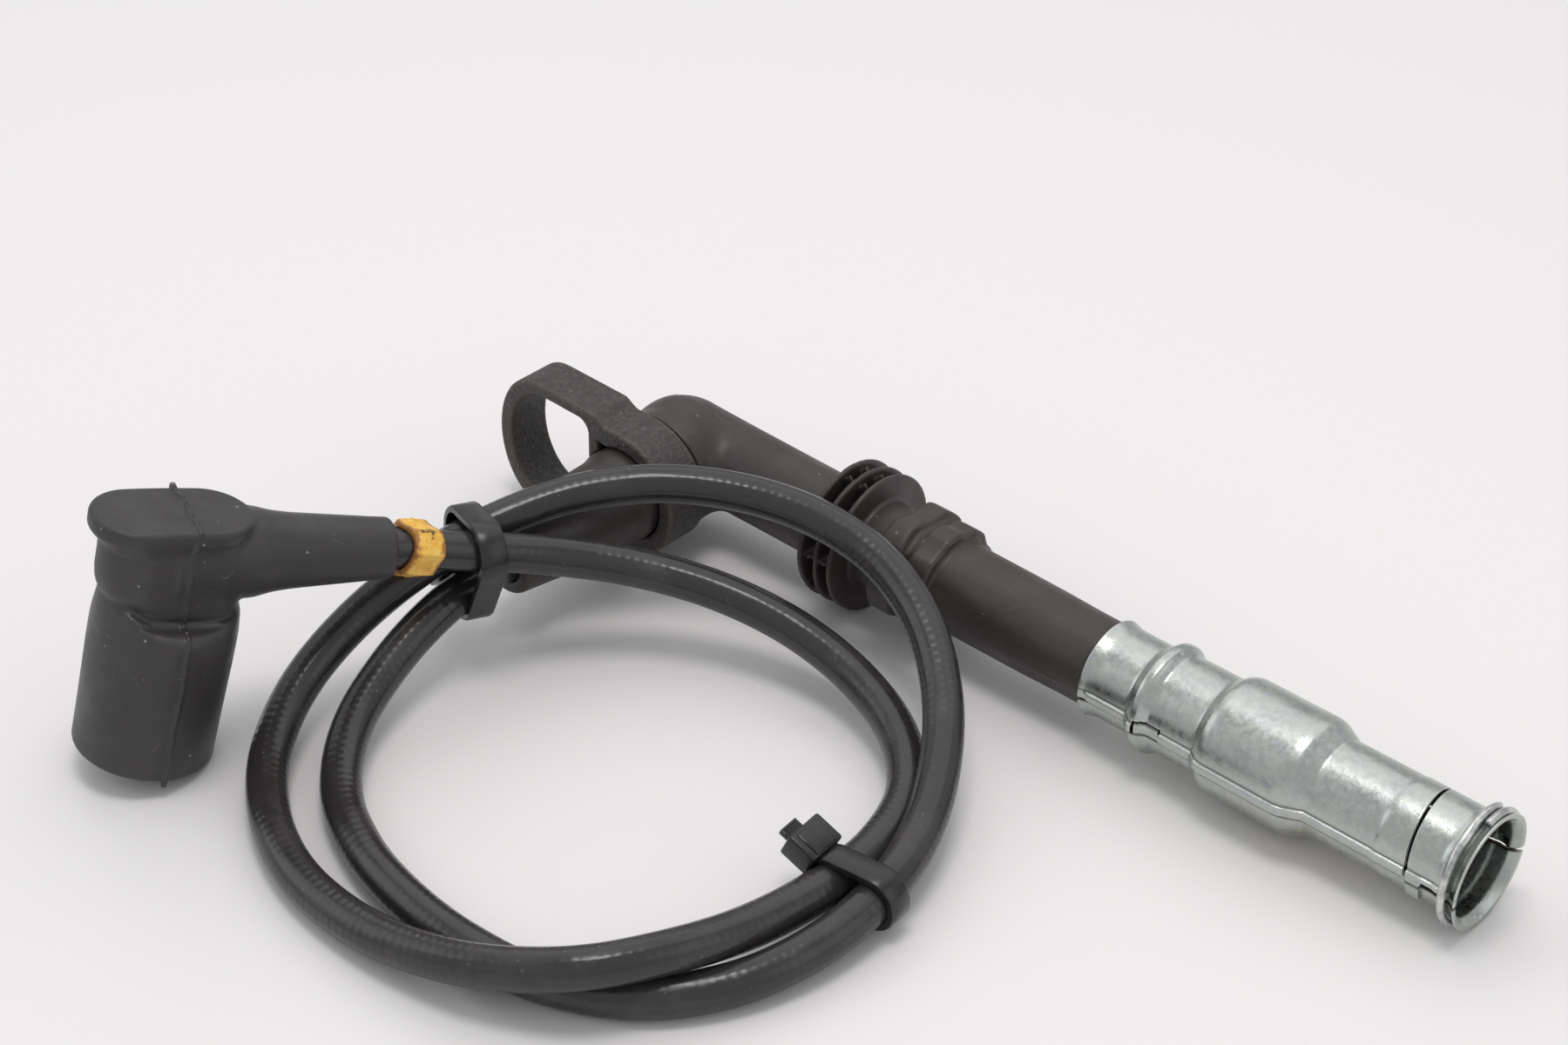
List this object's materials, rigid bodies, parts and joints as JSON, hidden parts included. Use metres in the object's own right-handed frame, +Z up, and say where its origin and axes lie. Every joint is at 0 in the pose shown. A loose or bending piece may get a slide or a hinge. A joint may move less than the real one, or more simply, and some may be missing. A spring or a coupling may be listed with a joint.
{
  "type": "spark plug wire",
  "caption": "High-voltage ignition lead: moulded coil boot, looped cable held by ties, and a long plug connector with a pressed steel shield and pull ring.",
  "frame": {"origin": "on the resting surface, under the middle of the box round the two connectors and their pull ring", "axes": "+X along the plug connector toward its open end, +Z up from the surface the lead lies on, +Y toward the plug connector's side"},
  "size_m": [0.2018, 0.1406, 0.0506],
  "materials": {
    "boot_rubber": "semi-matt moulded charcoal rubber",
    "cable_jacket": "black satin cable jacket",
    "ring_plastic": "dark grey-brown matt moulding with fine grain",
    "zinc_steel": "pressed sheet steel with a satin zinc finish and faint yellow-blue tints",
    "spring_steel": "drawn spring wire",
    "contact_brass": "turned and pressed brass",
    "resistor_body": "fired ceramic rod with end caps",
    "insulator_plastic": "dark heat-resistant plastic",
    "tie_nylon": "black nylon",
    "marker_plastic": "yellow plastic strip"
  },
  "bodies": {
    "root": {"plug_boot": "boot_rubber", "pull_ring": "ring_plastic", "shield_upper": "zinc_steel", "shield_lower": "zinc_steel", "shield_snap_ring": "spring_steel", "insulator_body": "insulator_plastic", "plug_seal": "boot_rubber", "plug_contact": "contact_brass", "plug_contact_clip": "spring_steel", "contact_spring": "spring_steel", "suppression_resistor": "resistor_body", "elbow_contact": "contact_brass", "plug_cable_ferrule": "contact_brass", "coil_boot": "boot_rubber", "coil_terminal": "contact_brass", "coil_contact_clip": "spring_steel", "cable": "cable_jacket", "marker_band": "marker_plastic", "cable_tie_rear": "tie_nylon", "cable_tie_front": "tie_nylon"}
  },
  "joints": []
}
